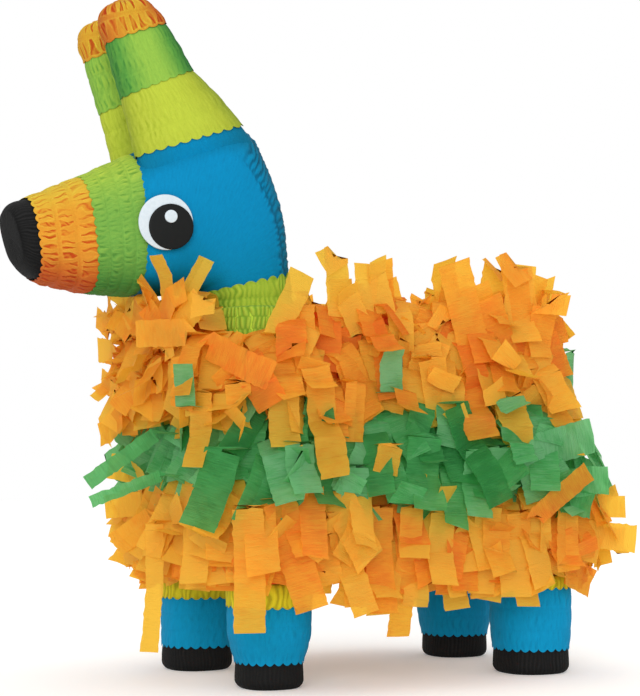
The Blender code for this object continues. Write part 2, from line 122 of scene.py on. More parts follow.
def crepe_wrap(name, codes, valley_shade, ridge, bump=0.35, strength=0.76):
    """Crepe paper glued flat. Its colour goes through codes from top to bottom with the attribute
    under: painted light on top, painted shade underneath or at the rims. It is multiplied by the
    factor for the valleys or the ridges with its pleats (painted shade in the valleys, painted
    highlight on the ridges) and by strength all over."""
    r = Recipe(name)
    top, side, bottom = (colour(code) for code in codes)
    grain = r.noise(r.place, 900, 4, 0.65)
    fibres = r.noise(r.attribute("paper", "Vector"), 1.0, 3, 0.6)
    mottle = r.noise(r.place, 45, 2)
    # painted shade: under, from how each face is turned to the light, picks the lighter code on top
    # and darker ones below or at the rims
    facing_shade = r.plus(r.attribute("under"), 0.16, mottle)
    base = r.ramp(facing_shade, (0.12, top), (0.6, side), (1.0, bottom))
    height = r.plus(r.attribute("relief"), 0.28, grain, 0.5)
    # painted shade in the pleats' valleys and painted highlight on their ridges
    fold_shade_and_highlight = r.ramp(height, (0.1, (*valley_shade, 1)), (0.5, (1, 1, 1, 1)), (0.95, (*ridge, 1)))
    darker = r.plus(0.83 * strength, 0.34 * strength, fibres)
    tone = r.mix(1.0, r.mix(1.0, base, fold_shade_and_highlight, "MULTIPLY"), darker, "MULTIPLY")
    fine = r.plus(r.maths("MULTIPLY", grain, 0.5), 0.7, fibres)
    return r.finish(r.paper(tone, r.bump(fine, bump, 0.0009)))


def fringe_paper(name, codes, through, clear):
    """Thin crepe strips: light comes through them, and so does a little of what is behind."""
    r = Recipe(name)
    deep, middle, light = (colour(code) for code in codes)
    through = colour(through)
    paper = r.attribute("paper", "Vector")
    lines = r.noise(r.stretch(paper, (0.10, 1.5, 1.0)), 1.0, 3, 0.6)
    cloud = r.noise(paper, 0.10, 2)
    shade = r.plus(r.plus(r.attribute("tone"), 0.7, cloud, 0.5), 0.9, lines, 0.5)
    base = r.ramp(shade, (0.05, deep), (0.5, middle), (0.95, light))
    normal = r.bump(lines, 0.8, 0.0008)
    front = r.paper(base, normal, 0.6, 0.12)
    behind = r.add("BsdfTranslucent", {"Color": through, "Normal": normal}).outputs[0]
    body = r.add("MixShader", {0: 0.42, 1: front, 2: behind}).outputs[0]
    hole = r.add("BsdfTransparent", {"Color": through}).outputs[0]
    return r.finish(r.add("MixShader", {0: clear, 1: body, 2: hole}).outputs[0])


def matt(name, dark, light, scale, bump, roughness, stretch=(1, 1, 1), metal=0.0):
    """Card, tape, wire and other plain finishes: two close tones in a fine grain."""
    r = Recipe(name)
    grain = r.noise(r.stretch(r.place, stretch), scale, 5, 0.6)
    cloud = r.noise(r.place, 30, 2)
    share = r.plus(r.maths("MULTIPLY", cloud, 0.3), 0.7, grain)
    inputs = {
        "Base Color": r.ramp(share, (0.3, colour(dark)), (0.7, colour(light))),
        "Roughness": r.plus(roughness - 0.12, 0.25, grain),
        "Metallic": metal,
        "Specular IOR Level": 0.5 if metal else 0.15,
        "Normal": r.bump(grain, bump, 0.0006),
    }
    return r.finish(r.add("BsdfPrincipled", inputs).outputs[0])


WRAPS = {name: crepe_wrap(name + "_wrap", *rest) for name, *rest in (
    # name, codes from top to bottom (painted light on top, painted shade below or at the rims),
    # factors for the painted shade in the valleys and the painted highlight on the ridges, bump,
    # strength
    ("orange", ("dcb838", "de902a", "bc5420"), (0.8, 0.3, 0.4), (1.12, 1.6, 1.9)),
    ("ear_orange", ("d09228", "c87424", "b44a1a"), (0.82, 0.3, 0.4), (1.15, 1.9, 2.1)),
    ("green", ("acca48", "74aa48", "48863a"), (0.58, 0.70, 0.65), (1.4, 1.16, 1.1)),
    ("ear_green", ("94c04a", "5a9a40", "2f7236"), (0.55, 0.72, 0.75), (1.25, 1.1, 1.0)),
    ("lime", ("bccb40", "b0bc3a", "94a434"), (0.76, 0.80, 0.6), (1.1, 1.08, 1.3)),
    ("neck", ("acc840", "84ae38", "4f8a30"), (0.6, 0.72, 0.6), (1.2, 1.12, 1.2)),
    ("blue", ("008abe", "037ba4", "036f90"), (0.5, 0.56, 0.56), (1.3, 1.16, 1.1)),
    # painted light: the legs keep strength 1.0 against 0.76 for the other wraps, so they are
    # painted brighter against the shade under the fringe
    ("leg", ("008cc0", "0382ae", "036f90"), (0.6, 0.7, 0.7), (1.3, 1.12, 1.08), 0.35, 1.0),
    ("yellow", ("dcd428", "dcd428", "c4bc2a"), (0.66, 0.66, 0.8), (1.1, 1.1, 1.3)),
    ("black", ("222222", "1b1b1b", "151515"), (0.5, 0.5, 0.5), (2.0, 2.0, 2.0), 0.9),
)}
STRIPS = {  # by slot: codes from deep to light, the colour of the light let through, how clear
    "orange_fringe": fringe_paper("orange_strips", ("e47e2e", "eeaa3a", "ecc048"), "ffc238", 0.18),
    "green_fringe": fringe_paper("green_strips", ("2c753d", "4aa05a", "7abc84"), "86d68a", 0.14),
}
PLAIN = {name: matt(name, *rest) for name, *rest in (
    # name, dark and light codes, scale of the grain, bump, roughness, stretch, metal
    ("white_disc", "b8c3ca", "c6cfd5", 500, 0.08, 0.5),
    ("black_disc", "08090a", "0f1110", 500, 0.08, 0.5),
    ("card", "9a7650", "bd9668", 220, 0.3, 0.85, (1, 1, 0.25)),
    ("steel", "8c8f92", "b4b7ba", 400, 0.06, 0.32, (1, 1, 1), 1.0),
    ("tab_paper", "d8702a", "ee9436", 300, 0.4, 0.8),
    ("tape", "c9bfa0", "e2dabd", 260, 0.15, 0.5, (0.2, 1, 1)),
    ("cover", "7c982c", "a6bb3a", 420, 0.7, 0.85, (0.3, 1, 1)),
)}
GREEN_FROM, GREEN_TO = 0.128, 0.176  # m up, where the rows over the cover are green
LIME_FROM, LIME_AHEAD_OF = 0.200, -0.040  # m up and along, where the cover shows by the neck


def banded_cover():
    """The paper under the fringe: dark copies of the colours of the rows over it, as painted shade
    between the strips, and its own lime by the neck.
    """
    r = Recipe("side_cover_paper")
    axes = r.add("SeparateXYZ", {"Vector": r.place}).outputs
    grain = r.noise(r.stretch(r.place, (0.3, 0.3, 1)), 420, 5, 0.6)
    # painted shade: the orange and green are dark copies of the strip colours, standing in for the
    # shade between the strips; the lime is the cover's own colour
    orange, green, lime = (
        r.ramp(grain, (0.3, colour(dark)), (0.7, colour(light)))
        for dark, light in (("cc4a20", "e4682c"), ("1e5a32", "2f7a46"), ("8aac34", "a8c63c")))
    above = r.maths("GREATER_THAN", axes["Z"], GREEN_FROM)
    below = r.maths("LESS_THAN", axes["Z"], GREEN_TO)
    tone = r.mix(r.maths("MULTIPLY", above, below), orange, green)
    high = r.maths("GREATER_THAN", axes["Z"], LIME_FROM)
    ahead = r.maths("LESS_THAN", axes["X"], LIME_AHEAD_OF)
    tone = r.mix(r.maths("MULTIPLY", high, ahead), tone, lime)
    return r.finish(r.paper(tone, r.bump(grain, 0.8, 0.0006), 0.85))


PLAIN["side_cover"] = banded_cover()


# ---- smooth forms
class Waves:
    """A smooth random field: the sum of a few plane waves."""

    COUNT = 9

    def __init__(self, seed):
        rng = np.random.default_rng(seed)
        turn = rng.uniform(0, 2 * math.pi, self.COUNT)
        speed = rng.uniform(0.6, 1.6, self.COUNT)
        self.kx, self.ky = np.cos(turn) * speed, np.sin(turn) * speed
        self.phase = rng.uniform(0, 2 * math.pi, self.COUNT)

    def __call__(self, x, y):
        total = 0
        for kx, ky, phase in zip(self.kx, self.ky, self.phase):
            total = total + np.sin(kx * x + ky * y + phase)
        return total / math.sqrt(self.COUNT)


def along_stations(table, t):
    """The station table read smoothly at fractional station numbers."""
    last = len(table) - 1
    i = np.clip(np.floor(t).astype(int), 0, last - 1)
    f = (t - i)[..., None]
    a, b, c, d = (table[np.clip(i + k, 0, last)] for k in (-1, 0, 1, 2))
    return 0.5 * (2 * b + (c - a) * f + (2 * a - 5 * b + 4 * c - d) * f**2
                  + (3 * b - a - 3 * c + d) * f**3)


class Tube:
    """A lofted tube. Each station is a superellipse between a front and a rear point of the
    X-Z plane, with its own half width. The seam runs along the rear points."""

    def __init__(self, stations, power, y=0.0):
        self.table = np.array(stations, float) * MM
        self.power = power
        self.y = y

    def section(self, t, angle):
        row = along_stations(self.table, t)
        front, rear = row[..., :2], row[..., 2:4]
        place = (front + rear) / 2 + (front - rear) / 2 * self.squared(np.cos(angle))[..., None]
        y = self.y + row[..., 4] * self.squared(np.sin(angle))
        return np.stack([place[..., 0], y, place[..., 1]], -1)

    def squared(self, share):
        """The superellipse's place for a circle's. Of an angle's cosine it is 1 at the front
        rim and -1 at the rear one."""
        return np.sign(share) * np.abs(share) ** (2 / self.power)

    def angles(self, t, columns):
        """The angles that split the section at t into even steps round its girth."""
        fine = np.linspace(math.pi, 3 * math.pi, 1441)
        points = self.section(np.full(len(fine), float(t)), fine)
        steps = np.linalg.norm(np.diff(points, axis=0), axis=1)
        run = np.concatenate([[0], np.cumsum(steps)])
        wanted = np.linspace(0, run[-1], columns, endpoint=False)
        return np.interp(wanted, run, fine), run[-1]

    def station_at(self, shares, start, end):
        """Station numbers at even steps of mean length from start to end."""
        t = np.linspace(start, end, 160)
        angle = np.linspace(0, 2 * math.pi, 24, endpoint=False)
        points = self.section(t[:, None] + 0 * angle, angle[None, :] + 0 * t[:, None])
        steps = np.linalg.norm(np.diff(points, axis=0), axis=2).mean(1)
        run = np.concatenate([[0], np.cumsum(steps)])
        return np.interp(np.asarray(shares) * run[-1], run, t), run[-1]


def grid_faces(rows, columns, closed=True):
    """Quads of a grid, its vertices row by row."""
    around = columns if closed else columns - 1
    i, j = np.meshgrid(np.arange(rows - 1), np.arange(around), indexing="ij")
    k = (j + 1) % columns
    return np.stack([i * columns + j, i * columns + k, (i + 1) * columns + k,
                     (i + 1) * columns + j], -1).reshape(-1, 4)


def put(name, data, place=(0, 0, 0)):
    """A new object in the scene."""
    thing = bpy.data.objects.new(name, data)
    bpy.context.scene.collection.objects.link(thing)
    thing.location = place
    return thing


def new_piece(name, points, faces, material, slot, replaced, **attributes):
    """Makes a mesh piece on the body, with its point attributes."""
    mesh = bpy.data.meshes.new(name)
    mesh.from_pydata(np.asarray(points).reshape(-1, 3).tolist(), [], [list(f) for f in faces])
    for key, values in attributes.items():
        kind, field = ("FLOAT_VECTOR", "vector") if key == "paper" else ("FLOAT", "value")
        layer = mesh.attributes.new(key, kind, "POINT")
        layer.data.foreach_set(field, np.asarray(values, np.float32).ravel())
    mesh.shade_smooth()
    mesh.materials.append(material)
    mesh.validate()
    piece = put(name, mesh)
    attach(piece, BODY)
    if replaced:
        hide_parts(*replaced)
    return piece


def surface_normals(grid):
    """Unit normals of a grid closed across its columns, facing out."""
    down = np.gradient(grid, axis=0)
    across = (np.roll(grid, -1, 1) - np.roll(grid, 1, 1)) / 2
    normal = np.cross(across, down)
    normal /= np.maximum(np.linalg.norm(normal, axis=2, keepdims=True), 1e-12)
    middle = grid.mean(1, keepdims=True)
    if ((grid - middle) * normal).sum() < 0:
        normal = -normal
    return normal


def scallops(run, pitch, depth, waves):
    """A pinked edge: rounded teeth of a slightly uneven pitch."""
    phase = run / pitch + 0.12 * waves(run * 0.15, 0)
    tooth = np.abs(np.sin(np.pi * phase)) ** 0.8
    return depth * (tooth - 0.5)


def smooth_step(x):
    x = np.clip(x, 0, 1)
    return x * x * (3 - 2 * x)


MARGIN, SUNK = 3.0, 0.3  # mm of a wrap's end hidden under its neighbour, and how deep
END_EASE = 5  # mm over which the shift of a wrap's end dies out
LIP, LIP_HEIGHT = 2.2, 0.35  # mm; the scalloped edge stands up a little
CLOSING = (0.93, 0.82, 0.66, 0.48, 0.3, 0.12, 0.004)  # sizes of the rings that close an end


def pleats(waves, seed, row_place, run, other, pleat, facets):
    """How high the pleats stand, from 0 to 1, and how far each row swells between its seams.
    facets turns the pleats into cells, each with a tapering hollow between two seams."""
    number = np.floor(row_place)
    in_row = row_place - number
    swell = np.sin(np.pi * in_row) ** 0.55
    phase = (run / pleat + 0.26 * waves(run * 0.45, number * 7.3)
             + 0.10 * waves(other * 0.6 + 9, run * 0.7) + number * 0.37)
    rounded = phase + 0.2 * np.sin(2 * np.pi * in_row + 2.4 * waves(run * 0.2, number * 3.1))
    ridge = 0.5 + 0.5 * np.sin(2 * np.pi * rounded)
    cell = np.floor(phase)
    lean = np.sin(cell * 12.9898 + number * 78.233 + seed)  # its sign is as good as random
    taper = np.clip((in_row - 0.14) / 0.72, 0, 1)
    taper = np.where(lean > 0, taper, 1 - taper)
    inside = smooth_step(np.minimum(in_row, 1 - in_row) / 0.07 - 1.2)
    hollow = smooth_step(1.7 - np.abs(phase - cell - 0.5) / (0.08 + 0.26 * taper)) * inside
    creases = 0.42 * np.abs(np.sin(2 * np.pi * phase + 1.3 * waves(other * 0.5, cell)))
    # the last term raises a rim round each hollow, which through relief is also a painted
    # highlight; the creases paint shade in the hollows
    facet = 0.6 + (creases - 0.6) * hollow + 1.5 * hollow * (1 - hollow)
    return ridge * (1 - facets) + facet * facets, swell


def close_end(layers, at, depth, waves, run):
    """Closes a wrap's first ring (at = 0) or last (at = -1) with ever smaller ones."""
    grid, relief, under, paper = layers
    edge = grid[at]
    middle = edge.mean(0)
    outward = (edge - grid[-2 if at else 1]).mean(0)
    outward /= np.linalg.norm(outward)
    rings = []
    for q in CLOSING:
        rise = depth * MM * math.sqrt(1 - q**3)
        wrinkle = 0.12 * MM * waves(run * 0.8, q * 12)[:, None]
        rings.append(middle + (edge - middle) * q + outward * (rise + wrinkle * q))
    ones = np.ones((len(CLOSING), 1))
    down = 0.4 * np.cumsum(ones)[:, None, None] * (0, 1, 0)
    # the closing rings carry on the painted shade (under) and a softened relief
    more = rings, ones * (relief[at] * 0.5 + 0.25), ones * under[at], paper[at] + down
    return [np.concatenate((old, new) if at else (new[::-1], old))
            for old, new in zip(layers, more)]


def wrap(name, tube, span, paper, slot, replaced, *, ruffles=1, seed=1, start="over",
         end="under", pitch=6.0, depth=1.6, pleat=2.8, tall=0.45, bulge=0.5, lift=0.4,
         smooth=None, lengthwise=False, shade="top", step=0.75, closed_depth=1.5,
         facets=0.0, contrast=1.0, rim_shift=0.0):
    """A crepe wrap round a tube between two stations. Its start is scalloped ('over'), and an
    end runs on below its neighbour ('under') or closes over the tube's end ('closed'). In mm.
    smooth = (from, to, least) fades the pleats away from the tube's front and rear rims, down
    to least; lengthwise turns them to run round the tube."""
    waves, slow = Waves(seed), Waves(seed + 50)
    length = tube.station_at([0], *span)[1] / MM
    rows = max(8, int(length / step * 0.75))
    girth = max(tube.angles(t, 8)[1] for t in np.linspace(*span, 5)) / MM
    columns = int(girth / step)
    share = np.linspace(0, 1, rows)
    t = tube.station_at(share, *span)[0]
    angle, girths = (np.array(part) for part in zip(*(tube.angles(v, columns) for v in t)))
    across = np.linspace(0, girths.mean() / MM, columns, endpoint=False) + 0 * angle
    along = share[:, None] * length + 0 * angle
    # the ends move along the tube: teeth on an upper edge, a hidden margin on a lower one
    teeth = scallops(across[0], girth / round(girth / pitch), depth, waves)
    per_station = np.gradient(t) / (length / (rows - 1))
    near_start = smooth_step(1 - share * length / END_EASE)[:, None]
    near_end = smooth_step(1 - (1 - share) * length / END_EASE)[:, None]
    back = {"over": teeth, "under": MARGIN, "closed": 0}[start]
    shift = near_end * MARGIN * (end == "under") - near_start * back
    t_grid = np.clip(t[:, None] + shift * per_station[:, None], 0, len(tube.table) - 1)
    grid = tube.section(t_grid, angle)
    normal = surface_normals(grid)
    # ruffles: rows that swell between their seams, crossed by pleats
    rim = tube.squared(np.cos(angle))
    if lengthwise:
        row_place = across * ruffles / girth + 0.02 * waves(along * 0.25, 0)
        pleat_run, other = along, across
    else:
        row_place = along / length * ruffles + 0.02 * waves(across * 0.25, 0)
        pleat_run, other = across, along
    ridge, swell = pleats(waves, seed, row_place, pleat_run, other, pleat, facets)
    strength = np.clip(0.8 + 0.3 * waves(pleat_run * 0.35 + 3, other * 0.3), 0, 1.2)
    calm = 1.0
    if smooth:
        start_at, full_at, least = smooth
        away = smooth_step((np.abs(rim) - start_at) / (full_at - start_at))
        if lengthwise:  # only down the nape, clear of the ears
            away = away * (rim > 0) * smooth_step((share[:, None] - 0.46) / 0.1)
        calm = least + (1 - least) * away
    strength = strength * calm * np.clip(1 + 0.25 * slow(across * 0.08, along * 0.08), 0, 1.3)
    height = (lift + bulge * swell * (0.25 + 0.75 * calm)
              + tall * ridge * strength * (0.25 + 0.75 * swell))
    if start == "over":
        height += smooth_step(1 - along / LIP) * LIP_HEIGHT
    for kind, inward, near_it in ((start, along, near_start), (end, length - along, near_end)):
        if kind == "under":
            height = height * (1 - smooth_step(1 - inward / MARGIN)) - SUNK * near_it
    grid = grid + normal * height[..., None] * MM
    # relief sets the bump and also paints shade in the pleats' valleys and in the seams between
    # rows, with a painted highlight on the ridges
    relief = 0.5 + (ridge - 0.5) * strength * (0.4 + 0.6 * swell) * contrast
    relief = np.clip(relief - 0.42 * (1 - facets) * (1 - swell) ** 1.5 * calm * contrast, 0, 1)
    # under is painted shade: 'top' darker underneath, 'rim' darker towards the rims, 'side' darker
    # where the surface turns from the side and at the nape
    if shade == "top":
        under = 0.5 - 0.5 * normal[..., 2]
    elif shade == "rim":
        under = np.clip(np.abs(rim + rim_shift) - 0.1, 0, 1) ** 1.4
    else:
        under = np.maximum(1 - np.abs(normal[..., 1]), smooth_step((rim - 0.45) / 0.5))
    layers = [grid, relief, under,
              np.stack([pleat_run * 0.9, other * 0.16, 0 * across + seed], -1)]
    for kind, at in ((start, 0), (end, -1)):
        if kind == "closed":
            layers = close_end(layers, at, closed_depth, waves, across[0])
    grid = layers[0]
    faces = grid_faces(grid.shape[0], columns)
    a, b, c = (grid.reshape(-1, 3)[faces[:, k]] for k in (0, 1, 3))
    centre = grid.mean(1)[faces[:, 0] // columns]
    if (np.cross(b - a, c - a) * (a - centre)).sum() < 0:
        faces = faces[:, ::-1]
    new_piece(name, grid, faces, WRAPS[paper], slot, replaced, relief=layers[1],
              under=layers[2], paper=layers[3])


# ---- head, ears and legs
HEAD = Tube([  # crown x, z, throat x, z, half width
    (-190.5, 281, -181.5, 249.5, 18.5), (-187.5, 285.5, -177.5, 245, 20.5),
    (-179.5, 288.5, -171.5, 241.5, 22), (-164, 295.5, -156, 238, 25.5),
    (-148, 303, -138.5, 235.6, 29), (-116.5, 319, -111, 234.5, 34.5),
    (-86, 335, -98, 234.8, 38), (-48, 343, -88, 235.8, 39), (-30, 322, -82, 236.4, 39),
    (-18, 289, -77, 236.7, 39), (-13.5, 250, -73, 235.5, 38), (-10, 223.2, -70, 223.2, 37),
], 2.7)
HEAD_BANDS = (  # name, stations, paper, slot, nodes, the rest of what wrap() takes
    ("nose", (0, 2), "black", "black_crepe", ["nose_cap"],
     dict(start="closed", bulge=0.0, tall=0.1, pleat=2.0, seed=3, lift=0.2, closed_depth=0.7)),
    ("muzzle_orange", (2, 4), "orange", "orange_crepe", ["muzzle_wrap_orange"],
     dict(ruffles=3, bulge=0.35, tall=1.0, pleat=4.5, seed=4, facets=1.0, contrast=1.25,
          step=0.45)),
    ("muzzle_green", (4, 5), "green", "green_crepe", ["muzzle_wrap_green"],
     dict(ruffles=4, bulge=0.3, tall=0.9, pleat=3.6, seed=5, facets=0.7, contrast=1.5,
          smooth=(-0.3, 0.5, 0.25), step=0.5)),
    ("head_blue", (5, 10), "blue", "blue_crepe",
     ["head_wrap_blue", "head_shell_left", "head_shell_right"],
     dict(ruffles=16, bulge=0.4, tall=1.1, pleat=3.0, seed=6, lengthwise=True,
          smooth=(0.48, 0.6, 0.03), shade="side", depth=1.2, lift=0.2, contrast=1.4)),
    ("neck_lime", (10, 11), "neck", "lime_crepe", ["neck_wrap_lime"],
     dict(ruffles=2, bulge=0.6, tall=0.7, pleat=3.2, seed=7, pitch=8, depth=2.2, lift=0.7,
          smooth=(0.1, 0.7, 0.5), shade="side")),
)
EAR_FORM = (  # front x, z, rear x, z, share of the full thickness
    (-112, 299, -38, 325, 0.4), (-116.5, 315.5, -50, 339.5, 1), (-121, 333, -67, 357, 1),
    (-126, 350.5, -83, 370.5, 1), (-131, 366, -91, 383, 1), (-136, 382.5, -101, 397, 1),
    (-140, 394, -107, 405, 0.95), (-138.5, 401.5, -113, 408.6, 0.8),
    (-133, 406, -120, 409.6, 0.45),
)
EAR_HALF_THICKNESS = 12
EAR_SIDES = (  # name, y, how far back of the other, shading moved off the front rim
    ("left", -25.5, 0, -0.12), ("right", 24, 3, -0.62),
)
EAR_BANDS = (  # colour, stations, paper, the rest of what wrap() takes
    ("blue", (0, 1), "blue", dict(start="under", bulge=0.0, tall=0.0, contrast=0.0, lift=0.0)),
    ("lime", (1, 3), "lime",
     dict(ruffles=3, bulge=0.25, tall=0.5, pitch=6.5, depth=1.7, lift=0.6,
          smooth=(0.3, 0.85, 0.3), facets=0.6, pleat=3.6)),
    ("green", (3, 5), "ear_green",
     dict(ruffles=3, bulge=0.25, tall=0.7, depth=1.2, lift=0.6, smooth=(0.1, 0.65, 0.15),
          facets=0.7, pleat=3.6, contrast=1.3)),
    ("orange", (5, 8), "ear_orange",
     dict(end="closed", ruffles=2, bulge=0.35, tall=0.95, lift=0.6, pleat=4.5, facets=1.0,
          step=0.45, depth=1.2, contrast=1.3)),
)
LEGS = (  # name, x, y, radius of the hoof, radius above, top of the blue
    ("front_left", -42.5, -54.5, 19.2, 23.4, 48), ("front_right", -44.5, 55.5, 21.5, 22, 46.5),
    ("rear_left", 140, -54.5, 22.5, 24, 54), ("rear_right", 146, 52, 21, 24, 54),
)
HOOF_ROUND, HOOF_TOP, LEG_SWELL, LEG_TOP = 5, 15.5, 34, 61.7  # mm


def make_head():
    for name, span, paper, slot, nodes, rest in HEAD_BANDS:
        wrap(name, HEAD, span, paper, slot, nodes, **rest)


def make_neck_skirt():
    """The wrap of the neck where it runs on down the front corner of the body."""
    waves, row, pleat = Waves(9), 7.5, 3.1
    turn = np.radians(np.linspace(-80, -178, 170))[None, :]
    height = np.linspace(199, 224.6, 48)[:, None]
    along = turn * CORNER + 0 * height
    number = np.floor(height / row)
    phase = along / pleat + 0.35 * waves(along * 0.3, height * 0.25) + 0.4 * number
    swell = np.sin(np.pi * (height / row - number)) ** 0.4
    ridge = (0.5 + 0.5 * np.sin(2 * np.pi * phase)) * swell
    out = CORNER + 0.7 + 0.75 * ridge - np.maximum(height - 223, 0) * 5
    grid = np.stack([CHEST_X + CORNER + out * np.cos(turn),
                     CORNER - HALF_WIDTH + out * np.sin(turn), height + 0 * out], -1)
    # relief paints shade in the pleats' valleys and highlight on their ridges; under holds an even
    # painted shade near the lit top colour
    new_piece("neck_skirt", grid * MM, grid_faces(*ridge.shape, closed=False), WRAPS["neck"],
              "lime_crepe", [], relief=ridge, under=0.25 + 0 * ridge,
              paper=np.stack([along, height * 0.16 + 0 * along, 0 * along], -1))


def make_ears():
    for side, y, back, rim_shift in EAR_SIDES:
        stations = [(x0 + back, z0, x1 + back, z1, share * EAR_HALF_THICKNESS)
                    for x0, z0, x1, z1, share in EAR_FORM]
        ear = Tube(stations, 2.6, y * MM)
        for number, (band, span, paper, rest) in enumerate(EAR_BANDS):
            nodes = [f"ear_wrap_{band}_{side}"] + ["ear_core_" + side] * (band == "blue")
            wrap(f"ear_{band}_{side}", ear, span, paper, band + "_crepe", nodes,
                 seed=20 + number + (10 if y > 0 else 0), shade="rim", rim_shift=rim_shift,
                 **rest)


def leg_tube(x, y, sole, top, blue_top):
    """The leg from its sole up: the hoof's rounded rim, then five stations to its top."""
    rows = []
    for turn in (0, 20, 40, 60, 75, 90):
        angle = math.radians(turn)
        radius = sole - HOOF_ROUND * (1 - math.sin(angle))
        rows.append((HOOF_ROUND * (1 - math.cos(angle)), radius))
    for z in (HOOF_TOP, 25, LEG_SWELL, blue_top, LEG_TOP):
        swell = np.clip((z - HOOF_TOP) / (LEG_SWELL - HOOF_TOP), 0, 1) ** 0.7
        rows.append((z, sole + (top - sole) * swell))
    return Tube([(x + r, z, x - r, z, r) for z, r in rows], 2.4, y * MM)


def make_legs():
    for number, (name, *form) in enumerate(LEGS):
        tube = leg_tube(*form)
        seed = 60 + number * 5
        wrap("hoof_cap_" + name, tube, (0, 6), "black", "black_crepe", ["hoof_" + name],
             start="closed", seed=seed, bulge=0.2, tall=0.2, pleat=2.2, lift=0.1,
             closed_depth=0.0, contrast=0.5)
        wrap("leg_blue_" + name, tube, (6, 9), "leg", "blue_crepe",
             ["leg_wrap_blue_" + name, "leg_tube_" + name], ruffles=3, seed=seed + 1, bulge=0.3,
             tall=0.4, pleat=4.6, depth=2.0, contrast=0.5, facets=0.6)
        wrap("leg_yellow_" + name, tube, (9, 10), "yellow", "yellow_crepe",
             ["leg_wrap_yellow_" + name], seed=seed + 2, bulge=0.4, tall=0.5, pleat=3.6,
             lift=0.8, depth=2.0)


def disc_frame(node):
    """Centre, axis, radius and half thickness of a thin CAD disc."""
    points = np.array([v.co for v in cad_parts[node].data.vertices])
    centre = points.mean(0)
    axis = np.linalg.svd(points - centre)[2][2]
    if axis[1] * centre[1] < 0:
        axis = -axis
    depth = (points - centre) @ axis
    flat = points - centre - depth[:, None] * axis
    return centre, axis, np.linalg.norm(flat, axis=1).max(), depth.max()


def make_disc(node, finish, slot, rim=0.5):
    """A card disc with a softly rounded rim and a faintly domed face."""
    centre, axis, radius, top = disc_frame(node)
    side = np.cross(axis, (0, 0, 1))
    side /= np.linalg.norm(side)
    other = np.cross(side, axis)
    turn = np.linspace(0, 2 * math.pi, 96, endpoint=False)
    profile = [(radius, top - 1.2 * MM)]
    profile += [(radius - rim * MM * (1 - math.cos(a)), top - rim * MM * (1 - math.sin(a)))
                for a in np.linspace(0, math.pi / 2, 5)]
    profile += [(radius * q, top + 0.25 * MM * (1 - q * q)) for q in (0.85, 0.6, 0.3, 0.004)]
    grid = np.stack([centre + axis * h + r * (np.cos(turn)[:, None] * side
                     + np.sin(turn)[:, None] * other) for r, h in profile])
    faces = grid_faces(len(profile), len(turn))
    new_piece("card_" + node, grid, faces[:, ::-1] if axis[1] > 0 else faces, PLAIN[finish],
              slot, [node])


def make_eyes():
    for side in ("left", "right"):
        make_disc("eye_white_" + side, "white_disc", "eye_white")
        make_disc("eye_pupil_" + side, "black_disc", "eye_black")
        make_disc("eye_glint_" + side, "white_disc", "eye_white", 0.3)


# ---- fringe
CHEST_X, RUMP_X, HALF_WIDTH, CORNER, BACK_Z = -74.5, 159.5, 79, 30, 223.2  # mm, the card box
CLEAR = 0.4  # mm between the card and the roots of the strips
STEP = 2.2  # mm between a strip's cross lines
X_REACH, Y_REACH, SOFT_EDGE = 203, 116, 6  # mm; strips are eased back beyond these
STRIP_WIDTHS = 15, 20  # mm, least and most
CREASE = 20  # degrees; a fold of more is shaded as a crease
TORN, CUPPED = 0.22, 0.8  # mm, how uneven a strip's edges are and how far it is dished
CARD_FROM, OFF_CARD = 60, 1.2  # mm; above the first no point is nearer to the card than this
MIDDLE_X = (CHEST_X + RUMP_X) / 2
STRAIGHT_X, STRAIGHT_Y = (RUMP_X - CHEST_X) / 2 - CORNER, HALF_WIDTH - CORNER
THIN_BEHIND, THIN_AHEAD, THIN_ABOVE = 172, -88, 232  # mm; out there strips hang in one layer, and orange ones are painted lighter: painted light through a single layer
PAINTED_THROUGH_LIGHT = 0.35  # painted light: how much nearer to the light colour the orange strips out there are painted
BARE_AHEAD, BARE_SIDE, BARE_ABOVE = -42, -42, 205  # mm
LEG_REACH, LEG_SIDE = 26, 50  # mm along from a leg's middle, and out from the body's
LEG_HANG_Z = 74  # mm; over a leg the strips hang only down to about here
CHEST_LAYERS = 1, 0.75, 0.45  # on the chest strips are layered: their shares of the stand-out


class Strip:
    """One cut strip of crepe, laid from its root: it runs on, bends and folds. In mm."""

    def __init__(self, root, heading, pitch, roll, width):
        self.at = Vector(root)
        heading, pitch, roll = (math.radians(v) for v in (heading, pitch, roll))
        self.along = Vector((math.cos(heading), math.sin(heading), 0))
        self.across = Vector((-math.sin(heading), math.cos(heading), 0))
        self.turn(-pitch, self.across)
        self.turn(roll, self.along)
        self.width = width
        self.run = 0.0
        self.lines = []
        self.mark()

    def turn(self, angle, axis):
        matrix = Matrix.Rotation(angle, 3, axis)
        self.along, self.across = matrix @ self.along, matrix @ self.across

    def lean(self, degrees):
        """Turns the strip in its own plane: clockwise, as seen from outside."""
        self.turn(math.radians(degrees), self.along.cross(self.across))
        return self

    def mark(self):
        self.lines.append([self.at, self.along, self.across, self.run, 0.0])

    def go(self, length, bend=0.0, twist=0.0):
        """Runs on for length, bending (down for a strip that starts outward) by degrees."""
        steps = max(1, round(length / STEP))
        for _ in range(steps):
            self.turn(math.radians(bend) / steps, self.across)
            if twist:
                self.turn(math.radians(twist) / steps, self.along)
            self.at = self.at + self.along * (length / steps)
            self.run += length / steps
            self.mark()
        return self

    def fold(self, degrees, slant=0.0):
        """A sharp crease across the strip, or slanting by degrees."""
        self.end(slant)
        slant = math.radians(slant)
        axis = self.across * math.cos(slant) + self.along * math.sin(slant)
        self.turn(math.radians(degrees), axis)
        return self

    def end(self, slant=0.0):
        """Slants the last cross line by degrees."""
        self.lines[-1][-1] = math.tan(math.radians(slant))
        return self


